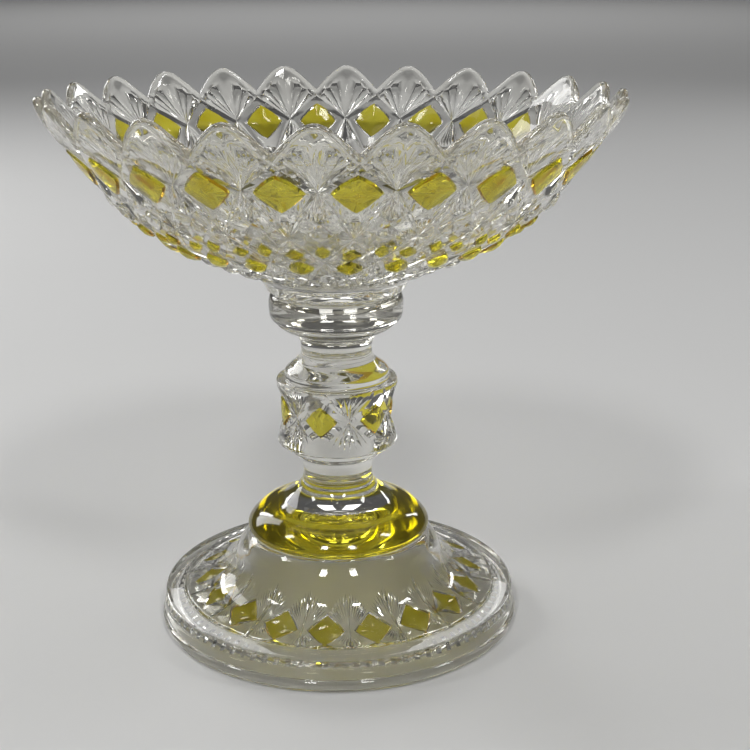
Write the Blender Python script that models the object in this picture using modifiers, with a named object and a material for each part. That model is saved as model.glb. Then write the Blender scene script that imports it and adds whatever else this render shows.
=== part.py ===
"""Footed pressed-glass compote: a scalloped bowl, hot-joined by a wafer to a knopped pedestal, with yellow lozenges.

Metres, +Z up. The origin is on the stem's axis, in the plane that the foot stands on.
The front of the dish faces -Y. Every outline below is a list of (radius, height) in millimetres.
"""

import math

import bmesh
import bpy
from mathutils import Matrix, Vector

MM = 0.001
GAP = 0.3  # clearance between pieces that touch, in millimetres
AXIS_MERGE = 0.00001
SHARP_ANGLE = math.radians(35)

# Bowl
SCALLOPS = 24
TIP_HEIGHT = 204.0
NOTCH_HEIGHT = 193.5
HUB_HEIGHT = 181.4  # the fans of the pattern spread from this level
WALL_LEAN = math.radians(29)  # of the wall above the hubs, from the vertical
SCALLOP_POWER = 1.35  # 1 is a plain gable, 2 is a half round
BOWL_STEPS = 144
BOWL_TURN = math.radians(-3.2)
BOWL_BASE_HEIGHT = 129.4
BOWL_INSIDE = [(0, 140.5), (22, 142), (40, 147.5), (58, 156.5), (72, 166.5), (83, 178), (91, 189.5)]
BOWL_LIP = [(98.2, 201), (99.4, 203.2), (101.6, 204), (103.8, 203), (104.8, 200.6), (103.2, 196.6)]
BOWL_OUTSIDE = [(91, 181.4), (83, 169.7), (75, 160.9), (65, 153.4), (52, 146.2), (38, 140)]
BOWL_BEAD = [(27, 135.2), (26.6, 132.6), (25.4, 130.4), (23.3, 129.4)]

# Joining wafer
WAFER_BOTTOM = 118.5
WAFER_RIM = [(22.9, 129.1), (24.9, 128), (25.4, 125.6), (25.2, 121.4), (24.1, 119.2), (22.3, 118.5)]

# Pedestal, from the top down
STEM_TOP = 118.2
PEDESTAL_STEPS = 48
NECK = [(22.2, 118.2), (16.6, 114.2), (13.5, 109.8), (13.4, 106.6), (14.8, 103.6), (18.2, 100.6)]
SHOULDER = [(18.2, 100.6), (19.8, 98.6), (19.7, 97), (20.4, 96)]
KNOP = [(22.8, 95.2), (22.6, 93.4), (21.1, 88.5), (20.6, 83), (21, 77.5), (22.6, 72.4), (22.5, 70.4)]
LOWER_NECK = [(18.4, 68.4), (14, 65.2), (13.6, 62), (13.1, 58.2), (14.2, 54.6), (18, 50.4), (22.4, 47)]
RING_CORE = [(23.2, 44.7), (27.6, 43), (31.2, 40.4), (33.5, 37.7), (33, 36.2), (33.4, 35)]
DOME = [(35.2, 33.6), (38.6, 29.4), (40.8, 24), (45, 19), (52, 15.6), (60, 13.9)]
FOOT_RIM = [(60.6, 12.8), (66, 12.6), (67.8, 11.6), (69.4, 6), (69, 2), (67.4, 0)]
FOOT_INSIDE = [(64.4, 0), (64.2, 6), (62.6, 8.6), (54, 10.4), (46, 13), (39.6, 17.6), (36.4, 23.5), (33, 29.5)]
HOLLOW_TOP = [(33, 29.5), (26, 34.6), (14, 38.4), (0, 39.4)]

# Yellow band on the stem's ring
RING_THICKNESS = 1.2
RING_OUTSIDE = [(24.8, 46), (28.6, 44.6), (32.4, 41.8), (35.2, 38.2), (34.7, 36.2)]

# Yellow lozenges: width and height on the surface, and how far the crown stands out
BOWL_LOZENGE = (15.4, 13.4, 2.0)
BOWL_LOZENGE_CENTRE = (90.4, 179.3)
KNOP_LOZENGES = 6
KNOP_LOZENGE = (11.6, 10.6, 1.2)
KNOP_LOZENGE_CENTRE = (21.1, 83.4)
KNOP_TURN = math.radians(-16.3)
FOOT_LOZENGES = 18
FOOT_LOZENGE = (12.6, 11.2, 1.4)
FOOT_LOZENGE_CENTRE = (50.0, 11.0)
FOOT_TURN = math.radians(-4.3)
CROWN_SHARE = 0.3  # of a lozenge's width, left flat on its crown
CORNER_SHARE = 0.03  # of a lozenge's width, rounded off each corner

CLEAR_COLOUR = (0.90, 0.93, 0.91)
YELLOW_COLOUR = (0.62, 0.50, 0.04)


def remove_startup_objects():
    for obj in list(bpy.data.objects):
        bpy.data.objects.remove(obj, do_unlink=True)


def new_collection(name):
    collection = bpy.data.collections.new(name)
    bpy.context.scene.collection.children.link(collection)
    return collection


def glass(name, colour, roughness, transmission):
    material = bpy.data.materials.new(name)
    material.use_nodes = True
    shader = material.node_tree.nodes["Principled BSDF"]
    shader.inputs["Base Color"].default_value = (*colour, 1)
    shader.inputs["Metallic"].default_value = 0.0
    shader.inputs["Roughness"].default_value = roughness
    shader.inputs["IOR"].default_value = 1.52
    shader.inputs["Transmission Weight"].default_value = transmission
    return material


def clear_glass(name):
    return glass(name, CLEAR_COLOUR, 0.03, 0.9)


def yellow_glass(name):
    return glass(name, YELLOW_COLOUR, 0.08, 0.7)


def turned(name, outline, steps, material, collection):
    """The outline, from its top down its outer side, turned round the axis."""
    mesh = bpy.data.meshes.new(name)
    points = [(radius * MM, 0, height * MM) for radius, height in outline]
    mesh.from_pydata(points, [(i, i + 1) for i in range(len(points) - 1)], [])
    obj = bpy.data.objects.new(name, mesh)
    collection.objects.link(obj)
    screw = obj.modifiers.new("turn", "SCREW")
    screw.axis = "Z"
    screw.angle = math.tau
    screw.steps = steps
    screw.render_steps = steps
    screw.use_merge_vertices = True
    screw.merge_threshold = AXIS_MERGE
    obj.data.materials.append(material)
    return obj


def make_plain_mesh(obj):
    """Replaces the object's modifiers by the mesh that they make."""
    graph = bpy.context.evaluated_depsgraph_get()
    mesh = bpy.data.meshes.new_from_object(obj.evaluated_get(graph))
    obj.modifiers.clear()
    obj.data = mesh


def shade(obj):
    obj.data.shade_smooth()
    obj.data.set_sharp_from_angle(angle=SHARP_ANGLE)


def edge_share(angle):
    """How much of a full scallop's rise the wall has at this angle: 1 at a tip."""
    sector = math.tau / SCALLOPS
    from_tip = abs((angle + sector / 2) % sector - sector / 2) / (sector / 2)
    arch = (1 - from_tip**SCALLOP_POWER) ** (1 / SCALLOP_POWER)
    edge = NOTCH_HEIGHT + (TIP_HEIGHT - NOTCH_HEIGHT) * arch
    return (edge - HUB_HEIGHT) / (TIP_HEIGHT - HUB_HEIGHT)


def cut_scallops(obj):
    """Draws the wall above the hubs down along its own lean, to the scalloped edge."""
    for vertex in obj.data.vertices:
        x, y, z = vertex.co
        rise = z - HUB_HEIGHT * MM
        if rise <= 0:
            continue
        drop = rise * (1 - edge_share(math.atan2(y, x)))
        radius = math.hypot(x, y)
        shrink = (radius - drop * math.tan(WALL_LEAN)) / radius
        vertex.co = (x * shrink, y * shrink, z - drop)


def make_bowl(collection):
    outline = [*BOWL_INSIDE, *BOWL_LIP, *BOWL_OUTSIDE, *BOWL_BEAD, (0, BOWL_BASE_HEIGHT)]
    bowl = turned("bowl", outline, BOWL_STEPS, clear_glass("bowl_glass"), collection)
    make_plain_mesh(bowl)
    cut_scallops(bowl)
    bowl.data.transform(Matrix.Rotation(BOWL_TURN - math.pi / 2, 4, "Z"))
    shade(bowl)


def make_wafer(collection):
    outline = [(0, WAFER_RIM[0][1]), *WAFER_RIM, (0, WAFER_BOTTOM)]
    shade(turned("joining_wafer", outline, PEDESTAL_STEPS, clear_glass("wafer_glass"), collection))


def make_pedestal(collection):
    outline = [
        (0, STEM_TOP),
        *NECK,
        *SHOULDER[1:],
        *KNOP,
        *LOWER_NECK,
        *RING_CORE,
        *DOME,
        *FOOT_RIM,
        *FOOT_INSIDE,
        *HOLLOW_TOP[1:],
    ]
    shade(turned("pedestal", outline, PEDESTAL_STEPS, clear_glass("pedestal_glass"), collection))


def make_ring(collection):
    ring = turned("yellow_ring", RING_OUTSIDE, PEDESTAL_STEPS, yellow_glass("ring_stain"), collection)
    shell = ring.modifiers.new("thickness", "SOLIDIFY")
    shell.thickness = RING_THICKNESS * MM
    shell.offset = -1
    make_plain_mesh(ring)
    shade(ring)


def lozenge_mesh(name, size, material):
    """A low crowned diamond lying on the XY plane, its width along X and its crown towards +Z."""
    width, height, crown = size
    form = bmesh.new()
    bmesh.ops.create_cone(
        form, cap_ends=True, segments=4, radius1=width / 2, radius2=CROWN_SHARE * width / 2, depth=crown
    )
    bmesh.ops.translate(form, verts=form.verts, vec=(0, 0, crown / 2))
    bmesh.ops.scale(form, verts=form.verts, vec=(1, height / width, 1))
    corners = [edge for edge in form.edges if edge.verts[0].co.z != edge.verts[1].co.z]
    bmesh.ops.bevel(form, geom=corners, offset=CORNER_SHARE * width, segments=1, affect="EDGES")
    bmesh.ops.scale(form, verts=form.verts, vec=(MM, MM, MM))
    mesh = bpy.data.meshes.new(name)
    form.to_mesh(mesh)
    form.free()
    mesh.materials.append(material)
    return mesh


def place_round(mesh, count, turn, centre, facing, collection):
    """Copies of the lozenge round the axis. `facing` is the (radial, upward) direction its crown points."""
    radial, upward = Vector(facing).normalized()
    x_axis = Vector((1, 0, 0))
    crown = Vector((0, -radial, upward))
    up_slope = crown.cross(x_axis)
    lie = Matrix((x_axis, up_slope, crown)).transposed().to_4x4()
    lie.translation = Vector((0, -centre[0] * MM, centre[1] * MM)) + crown * GAP * MM
    for number in range(count):
        lozenge = bpy.data.objects.new(f"{mesh.name}_{number + 1:02d}", mesh)
        lozenge.matrix_world = Matrix.Rotation(turn + math.tau * number / count, 4, "Z") @ lie
        collection.objects.link(lozenge)


def make_bowl_lozenges(collection):
    mesh = lozenge_mesh("bowl_lozenge", BOWL_LOZENGE, yellow_glass("bowl_stain"))
    half_pitch = math.pi / SCALLOPS
    place_round(mesh, SCALLOPS, BOWL_TURN + half_pitch, BOWL_LOZENGE_CENTRE, (0.81, -0.586), collection)


def make_knop_lozenges(collection):
    mesh = lozenge_mesh("knop_lozenge", KNOP_LOZENGE, yellow_glass("knop_stain"))
    place_round(mesh, KNOP_LOZENGES, KNOP_TURN, KNOP_LOZENGE_CENTRE, (1, 0), collection)


def make_foot_lozenges(collection):
    mesh = lozenge_mesh("foot_lozenge", FOOT_LOZENGE, yellow_glass("foot_stain"))
    place_round(mesh, FOOT_LOZENGES, FOOT_TURN, FOOT_LOZENGE_CENTRE, (-0.3, -0.954), collection)


def main():
    remove_startup_objects()
    compote = new_collection("glass_compote")
    make_bowl(compote)
    make_wafer(compote)
    make_pedestal(compote)
    make_ring(compote)
    make_bowl_lozenges(compote)
    make_knop_lozenges(compote)
    make_foot_lozenges(compote)


main()
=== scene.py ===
"""The looks of a footed pressed-glass compote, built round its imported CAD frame.

The frame is in metres. Outlines and patterns here are in millimetres, as (radius, height) or (across, up)
pairs. A pattern is drawn on half a sector of the turned surface, from x = 0 on one mirror line to the other,
with y along the outline and a relief along its normal, and is then mirrored and repeated round the axis.
"""

import math

import bmesh
import bpy
import numpy as np
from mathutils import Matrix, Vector
from mathutils.geometry import delaunay_2d_cdt


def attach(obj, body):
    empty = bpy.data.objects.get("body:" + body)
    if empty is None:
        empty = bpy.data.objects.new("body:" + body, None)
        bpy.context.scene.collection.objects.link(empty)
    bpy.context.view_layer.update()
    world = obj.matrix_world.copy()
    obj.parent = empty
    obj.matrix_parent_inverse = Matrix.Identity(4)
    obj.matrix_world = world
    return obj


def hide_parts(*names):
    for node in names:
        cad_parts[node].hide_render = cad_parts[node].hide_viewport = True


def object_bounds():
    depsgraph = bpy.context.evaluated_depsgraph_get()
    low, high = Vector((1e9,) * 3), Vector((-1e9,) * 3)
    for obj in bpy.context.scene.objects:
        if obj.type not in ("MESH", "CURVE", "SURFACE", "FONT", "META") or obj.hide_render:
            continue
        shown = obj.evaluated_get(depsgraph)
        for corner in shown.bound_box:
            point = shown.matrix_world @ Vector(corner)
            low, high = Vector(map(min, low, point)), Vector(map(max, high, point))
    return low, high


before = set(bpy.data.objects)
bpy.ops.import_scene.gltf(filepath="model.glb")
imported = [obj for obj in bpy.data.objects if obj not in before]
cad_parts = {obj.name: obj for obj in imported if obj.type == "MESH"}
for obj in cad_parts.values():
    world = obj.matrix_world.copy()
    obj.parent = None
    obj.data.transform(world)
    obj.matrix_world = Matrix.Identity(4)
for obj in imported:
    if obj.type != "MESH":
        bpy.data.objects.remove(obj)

CAD_LOW, CAD_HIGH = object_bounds()
CAD_HEIGHT = 204.0  # that the outlines below are drawn for
MM = (CAD_HIGH[2] - CAD_LOW[2]) / CAD_HEIGHT
WELD = 0.000004
MATCH = 0.02  # how near two points of a pattern are to be one
ON_MIRROR_LINE = 0.01
UP, DOWN = 1, -1
RIGHT, LEFT = 1, -1

# Cuts and lozenges, as shares of their own size
GROOVE_DEEPEST = 0.84
GROOVE_END = 1.05
RAY_HALF_WIDTH = 0.42
LOZENGE_RINGS = ((1, 0), (0.91, 0.5), (0.5, 0.82))  # (size, rise)

# Bowl
SCALLOPS = 24
BOWL_TURN = math.radians(-3.2)
HUB = (91.0, 181.4)  # the middle of the fans' feet
TIP_RISE = 25.8  # of a scallop's tip above the hub, along the wall
NOTCH_RISE = 14.4
TIP_BEND = 6.5
EDGE_COLUMNS = 13
NOTCH_COLUMNS = 5
LIP_RADIUS = 1.8
LIP_ROWS = 9
EDGE_STEP = 1.2  # from the lip down to the panels
SMOOTH_ABOVE = 13.5  # the band of the pattern next to the lip
HALF_PITCH = math.pi * HUB[0] / SCALLOPS
BOWL_OUTSIDE = [
    (106.0, 206.3), (104.7, 201.2), (101.8, 194.8), (96.8, 188.0), HUB, (83, 169.7),
    (75, 160.9), (65, 153.4), (52, 146.2), (38, 140), (28, 135.6), (24, 134),
]
PATTERN_BOTTOM = -78.0
BOWL_FOOT = [(26.9, 133.2), (26.2, 131.4), (24.8, 130), (23.2, 129.4), (12, 129.4), (0, 129.4)]
BOWL_FLOOR = [(16, 141.2), (8, 140.7), (0, 140.6)]
THICK_AT_BASE = 7.5
WALL_ROWS = 34
WALL_SPACING = 1.15  # draws the rows of the inside towards the lip
BOWL_CREASE = math.radians(30)

# Joining wafer, which reaches a little into the glass above and below it
WAFER_SIDE = [
    (22.9, 129.6), (24.5, 128.7), (25.3, 127), (25.45, 125), (25.35, 122.5), (25.1, 120.6), (24.2, 119.1),
    (22.3, 118.1),
]
WAFER_TOP = [(0, 129.6), (12, 129.6), (22.9, 129.6)]
WAFER_UNDER = [(22.3, 118.1), (12, 118), (0, 118)]
WAFER_SECTORS = 24
WAFER_COLUMNS = 5
WAFER_WOBBLE = 0.009
WOBBLE_TURN = 2.4
WOBBLE_TRIANGLE = 0.6
WAFER_CREASE = math.radians(40)

# Pedestal, from its flat top down the outside to the floor, and then up the hollow under the foot
PEDESTAL_SHARES = 180
STEM_TOP = [(0, 118.2), (10, 118.2), (21.4, 118.2)]
NECK = [
    (21.4, 118.2), (22.3, 117.6), (20.4, 115.9), (17.2, 114.4), (15, 112.6), (13.8, 110.4), (13.4, 107.8),
    (13.6, 105.6), (14.6, 103.6), (16.4, 101.9), (18.2, 100.5),
]
SHOULDER = [(18.2, 100.5), (19.5, 99.2), (19.9, 98), (19.8, 97), (20, 96.2), (20.6, 95.9)]
KNOP_TOP = [(20.6, 95.9), (21.8, 96), (22.6, 95.8), (22.95, 95.3)]
KNOP = [
    (22.95, 95.3), (22.6, 93.4), (21.8, 91), (21.1, 88), (20.6, 85), (20.5, 82.4), (20.7, 79.6), (21.3, 76.4),
    (22.7, 72.2),
]
KNOP_HUB = (20.5, 83.9)
KNOP_FOOT = [(22.7, 72.2), (22.9, 71.4), (22.4, 70.6), (20.8, 70.2), (18.9, 69.9)]
LOWER_NECK = [
    (18.9, 69.9), (18.5, 69.2), (18.3, 67.8), (17.4, 66.9), (15.2, 66), (14.1, 64.8), (13.6, 62),
    (13.2, 58.6), (13.7, 55.4), (15.4, 52.6), (18.2, 49.9), (21.4, 47.6),
]
RING = [
    (21.4, 47.6), (24.6, 45.9), (27.8, 44.7), (30.6, 43.1), (33, 41), (34.8, 38.7), (35.2, 37.1),
    (34.6, 35.8), (33.6, 35.1),
]
DOME = [
    (33.6, 35.1), (34.3, 34.3), (36.4, 32.2), (38.6, 29.4), (39.9, 26.4), (41.2, 23.4), (43.4, 20.4),
    (47, 17.8), (52, 15.8), (57, 14.6), (60, 14),
]
FOOT_STEP = [(60, 14), (60.5, 13.6), (60.7, 13), (61.3, 12.75), (63.5, 12.7), (65.8, 12.6)]
FOOT_RIM = [
    (65.8, 12.6), (67.2, 12.5), (67.9, 12.2), (68.15, 11.6), (68.6, 8.8), (68.9, 6.2), (68.8, 5.2),
    (68.5, 4.7), (69.1, 4.2), (69.6, 3.3), (69.55, 2.1), (69.1, 1.1), (68.3, 0.4), (67.4, 0.05),
    (66.6, 0.1), (66.2, 0.3),
]
HOLLOW_RIM = [(66.2, 0.3), (65.6, 2), (64.8, 4.4), (63.9, 6.6), (62.8, 8), (61.2, 8.8), (60, 9)]
FOOT_UNDER = [
    (60, 9), (57, 9.6), (53.2, 11), (49.6, 12.8), (45.6, 15.2), (41.8, 18.4), (38.8, 22.4), (37.7, 24.7),
]
FOOT_HUB = (49.6, 12.8)
HOLLOW = [
    (37.7, 24.7), (36.8, 26.8), (35.8, 29.2), (34.2, 31.6), (31, 34), (26, 36), (19, 37.8), (12, 38.8),
    (5, 39.3), (0, 39.4),
]
RIM_FLUTES = 0.6
KNOP_SIDES = 6
KNOP_TURN = math.radians(12.2)  # of a hub between two lozenges
FOOT_LOZENGES = 18
FOOT_TURN = math.radians(4.2)
PEDESTAL_CREASE = math.radians(30)

# Glass: the colour where it is thin and deep, the size of its patches, and the range of its roughness
CLEAR, YELLOW, AMBER_PAINTED_SHADE = 0, 1, 2  # a piece's material slots
FINISHES = [
    ("clear_glass", (0.92, 0.915, 0.88), (0.87, 0.86, 0.815), 30, (0.0, 0.02)),
    ("yellow_stain", (0.73, 0.60, 0.004), (0.57, 0.42, 0.0006), 90, (0.04, 0.1)),
    # amber_painted_shade_edge is painted shade: a darker amber laid along the lozenges' lower edges, where
    # their steep sides fall into shade
    ("amber_painted_shade_edge", (0.46, 0.20, 0.002), (0.32, 0.12, 0.001), 90, (0.04, 0.1)),
]
GLASS_IOR = 1.52
COLOUR_STOPS = (0.35, 0.65)
GLOSS_SCALE = 240
RIPPLE_SCALE = 130
RIPPLE_STRENGTH = 0.05
RIPPLE_DEPTH = 0.0002
GLASS_BOUNCES = 32  # for light that goes through many layers of glass
GLOSSY_BOUNCES = 12

# Stage
FLOOR_RADIUS = 14
FLOOR_SEGMENTS = 96
FLOOR_COLOUR = (0.7, 0.7, 0.69)
FLOOR_ROUGHNESS = 0.8
WORLD_COLOUR = (0.085, 0.085, 0.087)
OBJECT_MIDDLE = (0, 0, 0.1)

# Lights: name, place, size and watts
WINDOWS = [
    ("window_1", (-0.46, -1.1, 1.5), (0.2, 0.34), 7),
    ("back_window_1", (-0.92, 6.5, 4.7), (1.05, 2.8), 26),
    ("window_2", (0.42, -1.1, 1.5), (0.2, 0.34), 7),
    ("back_window_2", (0.84, 6.5, 4.7), (1.05, 2.8), 26),
    ("side_window_1", (-1.2, 0, 1.4), (0.18, 0.3), 3),
    ("side_window_2", (1.1, 0, 1.4), (0.18, 0.3), 3),
    ("ceiling", (-0.3, 0.5, 1.8), (1.4, 1.0), 3.2),
]
FAR_FLOOR_LIGHTS = [("back", 0, 5), ("front", 0, -5), ("left", -5, 0), ("right", 5, 0)]
FAR_FLOOR_HEIGHT = 4
FAR_FLOOR_SIZE = (4, 3)
FAR_FLOOR_WATTS = 14
FAR_FLOOR_SPREAD = 90
STRIPS = [
    ("left", (-0.95, 0.95, 0.75), (0.35, 0.9), 4.5),
    ("back_left", (-1.1, 1.6, 0.9), (0.16, 0.7), 4),
    ("back_right", (1.2, 1.5, 0.9), (0.12, 0.6), 2.5),
]

# Camera
CAMERA_PLACE = (0, -0.4966, 0.2503)
CAMERA_TURN = (72.75, 0.19, -1.73)  # degrees
SENSOR_WIDTH = 36
LENS = 65.7


def catmull_rom(points, parts):
    """A smooth curve through the points, with this many parts between each two."""
    ends = np.array([points[0], *points, points[-1]], float)
    run = []
    for a, b, c, d in zip(ends, ends[1:], ends[2:], ends[3:]):
        for t in np.arange(parts) / parts:
            run.append(b + 0.5 * t * (c - a + t * (2 * a - 5 * b + 4 * c - d + t * (3 * (b - c) + d - a))))
    return np.array([*run, ends[-1]])


class Outline:
    """A smooth outline read by its length, y, from a given point, with its normal to the left of its run."""

    PARTS = 12
    REACH = 0.8  # to each side of a point, for its direction

    def __init__(self, points, start):
        self.points = catmull_rom(points, self.PARTS)
        steps = np.linalg.norm(np.diff(self.points, axis=0), axis=1)
        self.length = np.concatenate([[0], np.cumsum(steps)])
        self.length -= self.length[np.argmin(np.linalg.norm(self.points - np.array(start), axis=1))]

    def on_line(self, y):
        return np.array([np.interp(y, self.length, self.points[:, axis]) for axis in (0, 1)])

    def at(self, y, relief=0.0):
        ahead, behind = self.on_line(y + self.REACH), self.on_line(y - self.REACH)
        along = (ahead - behind) / max(np.linalg.norm(ahead - behind), 1e-9)
        return self.on_line(y) + relief * np.array([-along[1], along[0]])


class Pattern:
    """Points (x, y, relief) and the creases between them, drawn on half a sector."""

    def __init__(self):
        self.points, self.edges, self.areas = [], [], []

    def point(self, x, y, relief):
        for index, (px, py, _) in enumerate(self.points):
            if abs(px - x) < MATCH and abs(py - y) < MATCH:
                return index
        self.points.append((x, y, relief))
        return len(self.points) - 1

    def line(self, *points):
        found = [self.point(*point) for point in points]
        self.edges += [(a, b) for a, b in zip(found, found[1:]) if a != b]
        return found

    def triangles(self, border):
        """(points, triangles) of the half sector inside the border, a list of points' numbers."""
        flat = [Vector(point[:2]) for point in self.points]
        verts, _, faces, sources, _, _ = delaunay_2d_cdt(flat, self.edges, [border], 1, 1e-4)
        points = []
        for vert, source in zip(verts, sources):
            relief = self.points[source[0]][2] if source else self.relief_on_edge(vert)
            points.append((vert.x, vert.y, relief))
        return points, [tuple(face) for face in faces]

    def relief_on_edge(self, vert):
        """The relief where two creases cross, read along the nearest crease."""
        nearest, relief = math.inf, 0.0
        for a, b in self.edges:
            start, end = (np.array(self.points[index]) for index in (a, b))
            along = end[:2] - start[:2]
            t = np.clip(np.dot(np.array(vert) - start[:2], along) / np.dot(along, along), 0, 1)
            gap = np.linalg.norm(start[:2] + t * along - np.array(vert))
            if gap < nearest:
                nearest, relief = gap, start[2] + t * (end[2] - start[2])
        return relief


def fan(pattern, hub, side, way, reach, spread, grooves, ridge, depth, first=0.0, deep=None):
    """V grooves that spread from a hub on a mirror line.

    side is the direction of x away from that line, and way is UP or DOWN. spread and first are degrees
    from straight up or down. reach is the length of the first and of the last ridge. A groove is deepest
    at deep from the hub, or near its end.
    """
    step = math.radians(spread - first) / grooves

    def spot(turns, length, relief):
        angle = math.radians(first) + turns * step
        return (hub[0] + side * math.sin(angle) * length, hub[1] + way * math.cos(angle) * length, relief)

    def reached(turns):
        return reach[0] + (reach[1] - reach[0]) * turns / grooves

    for number in range(grooves):
        left = spot(number, reached(number), ridge)
        right = spot(number + 1, reached(number + 1), ridge)
        middle = number + 0.5
        bottom = spot(middle, deep or GROOVE_DEEPEST * reached(middle), ridge - depth)
        end = spot(middle, GROOVE_END * reached(middle), ridge)
        pattern.line(hub, left, end, right, hub)
        pattern.line(hub, bottom, end)
        pattern.line(left, bottom, right)


def rays(pattern, hub, side, way, reach, spread, cuts, level, depth, start=0.35, deep=0.75):
    """Leaf-shaped cuts that spread from a hub on a mirror line, from a share of the reach to its end."""
    step = math.radians(spread) / cuts

    def spot(turns, share, relief):
        length = share * (reach[0] + (reach[1] - reach[0]) * turns / cuts)
        across, up = math.sin(turns * step), math.cos(turns * step)
        return (hub[0] + side * across * length, hub[1] + way * up * length, relief)

    for number in range(cuts):
        middle = number + 0.5
        inner, end = spot(middle, start, level), spot(middle, 1, level)
        left, right = (spot(middle + off, deep, level) for off in (-RAY_HALF_WIDTH, RAY_HALF_WIDTH))
        bottom = spot(middle, deep, level - depth)
        pattern.line(inner, left, end, right, inner)
        pattern.line(inner, bottom, end)
        pattern.line(left, bottom, right)


def rib(pattern, start, end, foot, half_width=0.8, trim=2.2):
    """A raised bar from start to end, with a bevel on each side down to the foot's relief."""
    pattern.line(start, end)
    across, up = end[0] - start[0], end[1] - start[1]
    length = math.hypot(across, up)
    across, up = across / length, up / length
    for side in (-half_width, half_width):
        near = (start[0] + trim * across - side * up, start[1] + trim * up + side * across, foot)
        far = (end[0] - trim * across - side * up, end[1] - trim * up + side * across, foot)
        pattern.line(start, near, far, end)


def lozenge(pattern, centre, side, half_width, up, down, base, crown, parts=4, power=1.18, stained=True):
    """Half of a soft-cornered pyramid, on one side of its upright diagonal, which is a mirror line."""
    rings = []
    for share, rise in LOZENGE_RINGS:
        ring = []
        for step in range(2 * parts + 1):
            angle = math.pi / 2 - step * math.pi / (2 * parts)
            across, upward = (
                math.copysign(abs(f(angle)) ** (2 / power), f(angle)) for f in (math.cos, math.sin)
            )
            x = centre[0] + side * share * half_width * across
            y = centre[1] + share * (up if upward > 0 else down) * upward
            ring.append((x, y, base + rise * (crown - base)))
        rings.append(ring)
        pattern.line(*ring)
    for spokes in zip(*rings):
        pattern.line(*spokes)
    top = (centre[0], centre[1], crown)
    for step in range(0, 2 * parts + 1, 2):
        pattern.line(rings[-1][step], top)
    pattern.line(rings[0][0], rings[1][0], rings[2][0], top, rings[2][-1], rings[1][-1], rings[0][-1])
    if stained:
        # The amber finish on the lower half of the outer band is painted shade on the lozenge's lower edges
        painted_shade_lower_edge = rings[0][parts:] + rings[1][parts:][::-1]
        pattern.areas.append((YELLOW, [point[:2] for point in rings[0]]))
        pattern.areas.append((AMBER_PAINTED_SHADE, [point[:2] for point in painted_shade_lower_edge]))


def diamond(pattern, centre, side, stained=False, **sizes):
    """A small straight-sided lozenge."""
    lozenge(pattern, centre, side, parts=2, power=1.0, stained=stained, **sizes)


def border_of(pattern, width, top, bottom):
    """The points' numbers round a half sector: its top, its far mirror line, its bottom and its near one."""

    def on_line(x):
        found = {index for index, point in enumerate(pattern.points) if abs(point[0] - x) < ON_MIRROR_LINE}
        return sorted(found, key=lambda index: pattern.points[index][1])

    return [*top, *on_line(width)[::-1][1:-1], *bottom[::-1], *on_line(0)[1:-1]]


def inside(point, polygon):
    x, y = point
    odd = False
    for (ax, ay), (bx, by) in zip(polygon, polygon[1:] + polygon[:1]):
        if (ay > y) != (by > y) and x < ax + (y - ay) / (by - ay) * (bx - ax):
            odd = not odd
    return odd


class Shell:
    """Collects the faces of half a sector, mirrored and repeated round the axis, and welds them closed."""

    def __init__(self):
        self.verts, self.faces, self.stains, self.smooth = [], [], [], []

    def tile(self, points, faces, stains, smooth, sectors, turn):
        """points are (share of the half sector, radius, height)."""
        points = np.array(points, float)
        for number in range(2 * sectors):
            middle = turn + math.tau * (number // 2) / sectors
            side = 1 if number % 2 else -1
            angle = middle - math.pi / 2 + side * points[:, 0] * math.pi / sectors
            radius = points[:, 1] * MM
            start = len(self.verts)
            self.verts += list(zip(radius * np.cos(angle), radius * np.sin(angle), points[:, 2] * MM))
            self.faces += [tuple(start + index for index in face) for face in faces]
            self.stains += list(stains)
            self.smooth += list(smooth)

    def grid(self, rows, sectors, turn, stain=CLEAR):
        """rows of the same number of (share, radius, height) points. A row at radius 0 is one point."""
        points = [point for row in rows for point in row]
        width = len(rows[0])
        faces = []
        for row in range(len(rows) - 1):
            for column in range(width - 1):
                corner = row * width + column
                face = [corner, corner + 1, corner + width + 1, corner + width]
                if rows[row][column][1] < 1e-6:
                    face.remove(corner + 1)
                if rows[row + 1][column][1] < 1e-6:
                    face.remove(corner + width + 1)
                faces.append(face)
        self.tile(points, faces, [stain] * len(faces), [True] * len(faces), sectors, turn)

    def turned(self, outline, shares, sectors, turn, stain=CLEAR):
        rows = [[(share, radius, height) for share in shares] for radius, height in outline]
        self.grid(rows, sectors, turn, stain)

    def build(self, name, materials, crease):
        mesh = bpy.data.meshes.new(name)
        mesh.from_pydata(self.verts, [], self.faces)
        mesh.polygons.foreach_set("material_index", self.stains)
        mesh.polygons.foreach_set("use_smooth", self.smooth)
        form = bmesh.new()
        form.from_mesh(mesh)
        bmesh.ops.remove_doubles(form, verts=form.verts, dist=WELD)
        bmesh.ops.dissolve_degenerate(form, edges=form.edges, dist=WELD)
        bmesh.ops.recalc_face_normals(form, faces=form.faces)
        form.to_mesh(mesh)
        form.free()
        for material in materials:
            mesh.materials.append(material)
        mesh.set_sharp_from_angle(angle=crease)
        obj = bpy.data.objects.new(name, mesh)
        bpy.context.scene.collection.objects.link(obj)
        return obj


def pattern_faces(pattern, border, place, plain):
    """The pattern as tile() takes it. place turns (x, y, relief) to (share, radius, height).

    plain says whether an unstained face with this middle is smooth.
    """
    points, faces = pattern.triangles(border)
    stains, smooth = [], []
    for face in faces:
        middle = np.mean([points[index][:2] for index in face], axis=0)
        found = [stain for stain, area in pattern.areas if inside(middle, area)]
        stains.append(found[-1] if found else CLEAR)
        smooth.append(bool(found) or bool(plain(middle)))
    return [place(*point) for point in points], faces, stains, smooth


# --- Bowl ---------------------------------------------------------------------------------------------------


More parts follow.
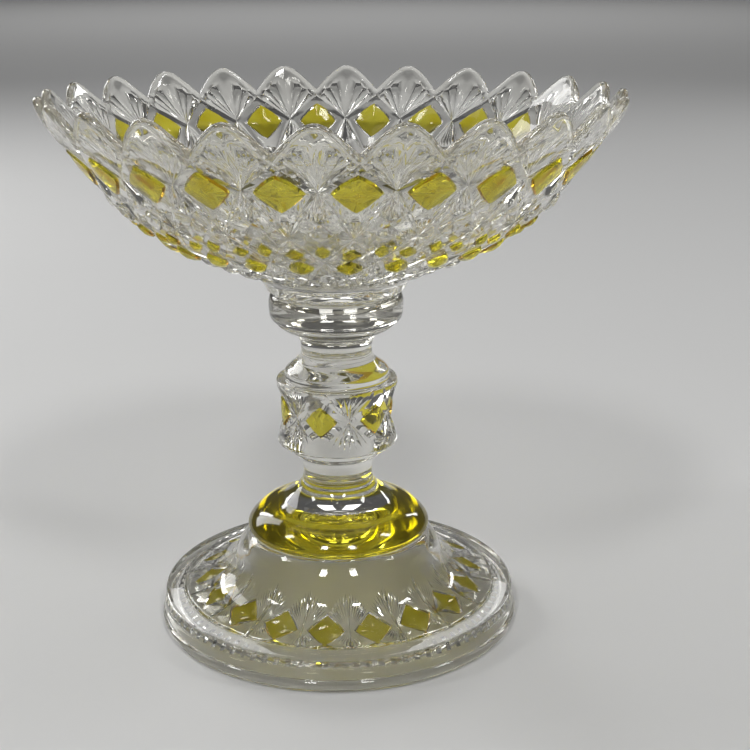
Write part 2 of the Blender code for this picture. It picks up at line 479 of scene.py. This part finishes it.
def scallop_edge():
    """(x, y, across, up) from tip to notch: where the wall meets the lip, and the way to the lip's edge.

    The edge itself is a hyperbola's arch. The line runs one lip radius inside it, and turns round the notch.
    """
    arch = math.hypot(HALF_PITCH, TIP_BEND) - TIP_BEND
    scale = (TIP_RISE - NOTCH_RISE) / arch
    edge = []
    for x in HALF_PITCH * np.linspace(0, 1, EDGE_COLUMNS):
        slope = scale * x / math.hypot(x, TIP_BEND)
        across, up = slope / math.hypot(1, slope), 1 / math.hypot(1, slope)
        y = TIP_RISE - scale * (math.hypot(x, TIP_BEND) - TIP_BEND)
        edge.append((x - LIP_RADIUS * across, y - LIP_RADIUS * up, across, up))
    last = math.atan2(across, up)
    for turn in last * np.linspace(1, 0, NOTCH_COLUMNS + 1)[1:]:
        across, up = math.sin(turn), math.cos(turn)
        edge.append((HALF_PITCH - LIP_RADIUS * across, NOTCH_RISE - LIP_RADIUS * up, across, up))
    return edge


def bowl_pattern(edge):
    """The fans, ribs, facets and lozenges outside the bowl, from the lip's line down to the collar."""
    w = HALF_PITCH
    pattern = Pattern()
    crest, panel, valley = 0.2, -0.35, -0.7
    top = pattern.line(*[(x, y, 0.0) for x, y, _, _ in edge])
    step = [(x - EDGE_STEP * across, y - EDGE_STEP * up, panel) for x, y, across, up in edge]
    step = [(max(x, 0), y, relief) for x, y, relief in step]
    step[-1] = (w, step[-1][1], crest)
    pattern.line(*step)
    notch = step[-1]
    hub, cross, low_hub, low_cross = (0, 0, -0.2), (w, -21, 0.1), (0, -37.5, -0.1), (w, -57, 0.1)
    foot_hub = (0, -68, 0.1)
    # lattice of ribs
    pattern.line(hub, notch)
    rib(pattern, hub, cross, foot=valley)
    rib(pattern, cross, low_hub, foot=valley)
    rib(pattern, low_hub, low_cross, foot=valley)
    rib(pattern, low_cross, foot_hub, foot=-0.5)
    # scallop fan and what hangs below the hub
    fan(pattern, hub, RIGHT, UP, reach=(19.4, 14), spread=46, grooves=4, ridge=0.1, depth=1.15, deep=12.3)
    fan(pattern, hub, RIGHT, DOWN, reach=(12.0, 11.0), spread=24, grooves=3, ridge=0.0, depth=1.2)
    lozenge(pattern, (w, -1.2), LEFT, half_width=8.2, up=8.3, down=8.0, base=-0.5, crown=1.3)
    pattern.line((w, 7.1, -0.5), notch)
    fan(pattern, cross, LEFT, UP, reach=(8.4, 7.8), spread=25, grooves=2, ridge=panel, depth=0.9)
    pattern.line((w, -9.2, -0.5), (w, -12.6, panel))
    fan(pattern, cross, LEFT, UP, reach=(6, 6), spread=132, grooves=4, ridge=panel, depth=1.0, first=44)
    diamond(pattern, (0, -19.2), RIGHT, half_width=4.4, up=4.6, down=4.6, base=-0.9, crown=1.1)
    lozenge(pattern, (0, -29.6), RIGHT, half_width=3.1, up=3.7, down=3.7, base=valley, crown=1.1, parts=2)
    fan(pattern, low_hub, RIGHT, UP, reach=(4.0, 3.8), spread=31, grooves=2, ridge=panel, depth=0.6)
    # lower row
    fan(pattern, cross, LEFT, DOWN, reach=(6.6, 5.6), spread=25, grooves=2, ridge=panel, depth=0.9)
    diamond(pattern, (w, -31.6), LEFT, half_width=4.0, up=3.2, down=3.6, base=-0.9, crown=0.9, stained=True)
    lozenge(pattern, (w, -43.6), LEFT, half_width=6.5, up=5.6, down=5.6, base=-0.9, crown=1.6)
    fan(pattern, low_hub, RIGHT, DOWN, reach=(12.4, 11.0), spread=28, grooves=3, ridge=panel, depth=1.0)
    diamond(pattern, (0, -57.0), RIGHT, half_width=4.4, up=4.6, down=4.6, base=-0.9, crown=1.0)
    fan(pattern, low_cross, LEFT, UP, reach=(6, 6), spread=130, grooves=4, ridge=panel, depth=0.9, first=44)
    # small stars and flutes down to the collar
    fan(pattern, low_cross, LEFT, DOWN, reach=(7.6, 6.8), spread=40, grooves=2, ridge=panel, depth=0.9)
    fan(pattern, foot_hub, RIGHT, UP, reach=(5.4, 5.0), spread=36, grooves=2, ridge=panel, depth=0.9)
    fan(pattern, foot_hub, RIGHT, DOWN, reach=(6.4, 6.4), spread=74, grooves=3, ridge=panel, depth=0.8)
    diamond(pattern, (w, -69.4), LEFT, half_width=4.6, up=3.8, down=4.4, base=panel, crown=0.7)
    foot = pattern.line(*[(x, PATTERN_BOTTOM, 0.0) for x, _, _, _ in edge])
    return pattern, border_of(pattern, w, top, foot)


def make_bowl(finishes):
    outside = Outline(BOWL_OUTSIDE[::-1], HUB)
    edge = scallop_edge()
    shares = [x / HALF_PITCH for x, _, _, _ in edge]
    shell = Shell()

    def place(x, y, relief):
        radius, height = outside.at(y, -relief)
        return x / HALF_PITCH, radius, height

    def rings(outline):
        return [[(share, radius, height) for share in shares] for radius, height in outline]

    pattern, border = bowl_pattern(edge)
    parts = pattern_faces(pattern, border, place, lambda middle: middle[1] > SMOOTH_ABOVE)
    shell.tile(*parts, SCALLOPS, BOWL_TURN)
    # the rounded lip, from the outside wall over to the inside one
    rows = []
    for turn in np.linspace(0, math.pi, LIP_ROWS):
        out, down = LIP_RADIUS * math.sin(turn), LIP_RADIUS * (1 - math.cos(turn))
        rows.append([place(x + out * across, y + out * up, -down) for x, y, across, up in edge])
    shell.grid(rows, SCALLOPS, BOWL_TURN)
    # the smooth inside
    rows = []
    for share in np.linspace(0, 1, WALL_ROWS) ** WALL_SPACING:
        thick = 2 * LIP_RADIUS + (THICK_AT_BASE - 2 * LIP_RADIUS) * share
        rows.append([place(x, y + (PATTERN_BOTTOM - y) * share, -thick) for x, y, _, _ in edge])
    shell.grid(rows + rings(BOWL_FLOOR), SCALLOPS, BOWL_TURN)
    # the collar bead and the underside
    collar = [place(x, PATTERN_BOTTOM, 0.0) for x, _, _, _ in edge]
    shell.grid([collar] + rings(BOWL_FOOT), SCALLOPS, BOWL_TURN)
    return shell.build("bowl_glass", finishes, BOWL_CREASE)


# --- Joining wafer ------------------------------------------------------------------------------------------


def make_wafer(clear):
    shell = Shell()
    for outline in (catmull_rom(WAFER_SIDE, 3).tolist(), WAFER_TOP, WAFER_UNDER):
        shell.turned(outline, np.linspace(0, 1, WAFER_COLUMNS), WAFER_SECTORS, 0)
    wafer = shell.build("joining_wafer_glass", [clear], WAFER_CREASE)
    for vert in wafer.data.vertices:
        x, y, _ = vert.co
        around = math.atan2(y, x)
        uneven = 1 + math.cos(around - WOBBLE_TURN) + WOBBLE_TRIANGLE * math.cos(3 * around)
        vert.co.xy *= 1 - WAFER_WOBBLE * uneven
    return wafer


# --- Pedestal -----------------------------------------------------------------------------------------------


def knop_pattern(width, top, bottom, columns):
    """Fans up and down from each hub, with a four-sided yellow pyramid between two hubs."""
    pattern = Pattern()
    low, high = -0.25, 0.3
    upper = pattern.line(*[(width * share, top, 0.0) for share in columns])
    lower = pattern.line(*[(width * share, bottom, 0.0) for share in columns])
    hub, peak, dip = (0, 0, -0.4), (width, top - 1.2, high), (width, bottom + 1.2, high)
    fan(pattern, hub, RIGHT, UP, reach=(10.4, 12.2), spread=47, grooves=4, ridge=high, depth=0.9, deep=6.5)
    fan(pattern, hub, RIGHT, DOWN, reach=(10.4, 11.2), spread=47, grooves=4, ridge=high, depth=0.9, deep=6.5)
    lozenge(pattern, (width, 0), LEFT, 6.4, up=6.1, down=6.1, base=-0.5, crown=1.2, parts=2, power=1.1)
    pattern.line((width, 6.1, -0.5), (width, 7.4, low), peak)
    pattern.line((width, -6.1, -0.5), (width, -7.4, low), dip)
    return pattern, border_of(pattern, width, upper, lower)


def foot_pattern(width, top, bottom, columns):
    """Fine rays on the foot's underside, towards its middle and its rim, with yellow lozenges between."""
    pattern = Pattern()
    upper = pattern.line(*[(width * share, top, 0.0) for share in columns])
    lower = pattern.line(*[(width * share, bottom, 0.0) for share in columns])
    hub = (0, 0, 0.0)
    rays(pattern, hub, RIGHT, UP, reach=(8.4, 7.0), spread=52, cuts=6, level=0.0, depth=0.35)
    rays(pattern, hub, RIGHT, DOWN, reach=(16.6, 12.2), spread=43, cuts=7, level=0.0, depth=0.35)
    lozenge(pattern, (width, 0), LEFT, 7.2, up=7.4, down=8.2, base=0.0, crown=2.2, parts=3, power=1.1)
    return pattern, border_of(pattern, width, upper, lower)


def pedestal_columns(sectors):
    return np.linspace(0, 1, PEDESTAL_SHARES // (2 * sectors) + 1)


def fluted_rim():
    """The inner wall of the foot's rim, whose flutes fade out at both of its edges."""
    outline = catmull_rom(HOLLOW_RIM, 3)
    rows = []
    for number, (radius, height) in enumerate(outline):
        flute = RIM_FLUTES * math.sin(math.pi * (number / (len(outline) - 1)) ** 2) ** 2
        row = []
        for step, share in enumerate(pedestal_columns(FOOT_LOZENGES)):
            row.append((share, radius - flute * (step % 2), height - flute * (step % 2)))
        rows.append(row)
    return rows


def make_pedestal(finishes):
    shell = Shell()

    def round_part(outline, parts=3, stain=CLEAR):
        smooth = catmull_rom(outline, parts).tolist()
        shell.turned(smooth, pedestal_columns(FOOT_LOZENGES), FOOT_LOZENGES, FOOT_TURN, stain)

    def patterned(outline, hub, drawn, sectors, turn):
        curve = Outline(outline, hub)
        width = math.pi * hub[0] / sectors
        pattern, border = drawn(width, curve.length[-1], curve.length[0], pedestal_columns(sectors))

        def place(x, y, relief):
            radius, height = curve.at(y, -relief)
            return x / width, radius, height

        shell.tile(*pattern_faces(pattern, border, place, lambda middle: False), sectors, turn)

    round_part(STEM_TOP, 1)
    for outline in (NECK, SHOULDER, KNOP_TOP):
        round_part(outline)
    patterned(KNOP[::-1], KNOP_HUB, knop_pattern, KNOP_SIDES, KNOP_TURN)
    round_part(KNOP_FOOT)
    round_part(LOWER_NECK)
    round_part(RING, stain=YELLOW)
    for outline in (DOME, FOOT_STEP, FOOT_RIM):
        round_part(outline)
    shell.grid(fluted_rim(), FOOT_LOZENGES, FOOT_TURN)
    patterned(FOOT_UNDER[::-1], FOOT_HUB, foot_pattern, FOOT_LOZENGES, FOOT_TURN)
    round_part(HOLLOW, 2)
    return shell.build("pedestal_glass", finishes, PEDESTAL_CREASE)


# --- Materials, stage and camera ----------------------------------------------------------------------------


def glass(name, thin, deep, patch, roughness):
    """Pressed glass whose colour drifts between two depths, with a faintly rippled, fire-polished skin."""
    material = bpy.data.materials.new(name)
    material.use_nodes = True
    nodes, links = material.node_tree.nodes, material.node_tree.links
    shader = nodes["Principled BSDF"]
    shader.inputs["IOR"].default_value = GLASS_IOR
    shader.inputs["Transmission Weight"].default_value = 1.0
    place = nodes.new("ShaderNodeTexCoord")

    def noise(scale, detail):
        node = nodes.new("ShaderNodeTexNoise")
        node.inputs["Scale"].default_value = scale
        node.inputs["Detail"].default_value = detail
        links.new(place.outputs["Object"], node.inputs["Vector"])
        return node.outputs["Fac"]

    colour = nodes.new("ShaderNodeValToRGB")
    for element, position, shade in zip(colour.color_ramp.elements, COLOUR_STOPS, (thin, deep)):
        element.position = position
        element.color = (*shade, 1)
    links.new(noise(patch, detail=2), colour.inputs["Fac"])
    links.new(colour.outputs["Color"], shader.inputs["Base Color"])
    gloss = nodes.new("ShaderNodeMapRange")
    gloss.inputs["To Min"].default_value, gloss.inputs["To Max"].default_value = roughness
    links.new(noise(GLOSS_SCALE, detail=4), gloss.inputs["Value"])
    links.new(gloss.outputs["Result"], shader.inputs["Roughness"])
    ripple = nodes.new("ShaderNodeBump")
    ripple.inputs["Strength"].default_value = RIPPLE_STRENGTH
    ripple.inputs["Distance"].default_value = RIPPLE_DEPTH
    links.new(noise(RIPPLE_SCALE, detail=1), ripple.inputs["Height"])
    links.new(ripple.outputs["Normal"], shader.inputs["Normal"])
    return material


def make_stage():
    """A round floor wide enough that its far edge lies above the camera's view."""
    form = bmesh.new()
    bmesh.ops.create_circle(form, cap_ends=True, segments=FLOOR_SEGMENTS, radius=FLOOR_RADIUS)
    mesh = bpy.data.meshes.new("floor")
    form.to_mesh(mesh)
    form.free()
    material = bpy.data.materials.new("floor_cloth")
    material.use_nodes = True
    shader = material.node_tree.nodes["Principled BSDF"]
    shader.inputs["Base Color"].default_value = (*FLOOR_COLOUR, 1)
    shader.inputs["Roughness"].default_value = FLOOR_ROUGHNESS
    mesh.materials.append(material)
    floor = bpy.data.objects.new("floor", mesh)
    bpy.context.scene.collection.objects.link(floor)


def soft_box(name, place, size, watts, aim=OBJECT_MIDDLE, spread=180):
    """A rectangular light that faces the middle of the object, unless it is aimed elsewhere."""
    data = bpy.data.lights.new(name, "AREA")
    data.energy = watts
    data.shape = "RECTANGLE"
    data.size, data.size_y = size
    data.spread = math.radians(spread)
    light = bpy.data.objects.new(name, data)
    light.location = place
    light.rotation_euler = (Vector(aim) - light.location).to_track_quat("-Z", "Y").to_euler()
    bpy.context.scene.collection.objects.link(light)


def make_lights():
    """The windows, the lights that shine straight down on the far floor, and the strips beside the object."""
    world = bpy.data.worlds.new("studio")
    world.use_nodes = True
    world.node_tree.nodes["Background"].inputs["Color"].default_value = (*WORLD_COLOUR, 1)
    bpy.context.scene.world = world
    for light in WINDOWS:
        soft_box(*light)
    for name, x, y in FAR_FLOOR_LIGHTS:
        place = (x, y, FAR_FLOOR_HEIGHT)
        soft_box(f"far_floor_{name}", place, FAR_FLOOR_SIZE, FAR_FLOOR_WATTS, (x, y, 0), FAR_FLOOR_SPREAD)
    for light in STRIPS:
        soft_box(*light)


def make_camera():
    data = bpy.data.cameras.new("camera")
    data.sensor_width = SENSOR_WIDTH
    data.lens = LENS
    camera = bpy.data.objects.new("camera", data)
    camera.location = CAMERA_PLACE
    camera.rotation_euler = [math.radians(angle) for angle in CAMERA_TURN]
    bpy.context.scene.collection.objects.link(camera)
    bpy.context.scene.camera = camera


def numbered(name, count):
    return [f"{name}_{number + 1:02d}" for number in range(count)]


def main():
    scene = bpy.context.scene
    scene.view_settings.view_transform = "Standard"
    scene.cycles.max_bounces = GLASS_BOUNCES
    scene.cycles.transmission_bounces = GLASS_BOUNCES
    scene.cycles.glossy_bounces = GLOSSY_BOUNCES
    make_camera()
    finishes = [glass(*finish) for finish in FINISHES]
    bowl = make_bowl(finishes)
    wafer = make_wafer(finishes[CLEAR])
    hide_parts("bowl", *numbered("bowl_lozenge", SCALLOPS))
    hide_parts("joining_wafer")
    pedestal = make_pedestal(finishes)
    stained = [*numbered("knop_lozenge", KNOP_SIDES), *numbered("foot_lozenge", FOOT_LOZENGES)]
    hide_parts("pedestal", "yellow_ring", *stained)
    for piece in (bowl, wafer, pedestal):
        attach(piece, "root")
    make_stage()
    make_lights()


main()
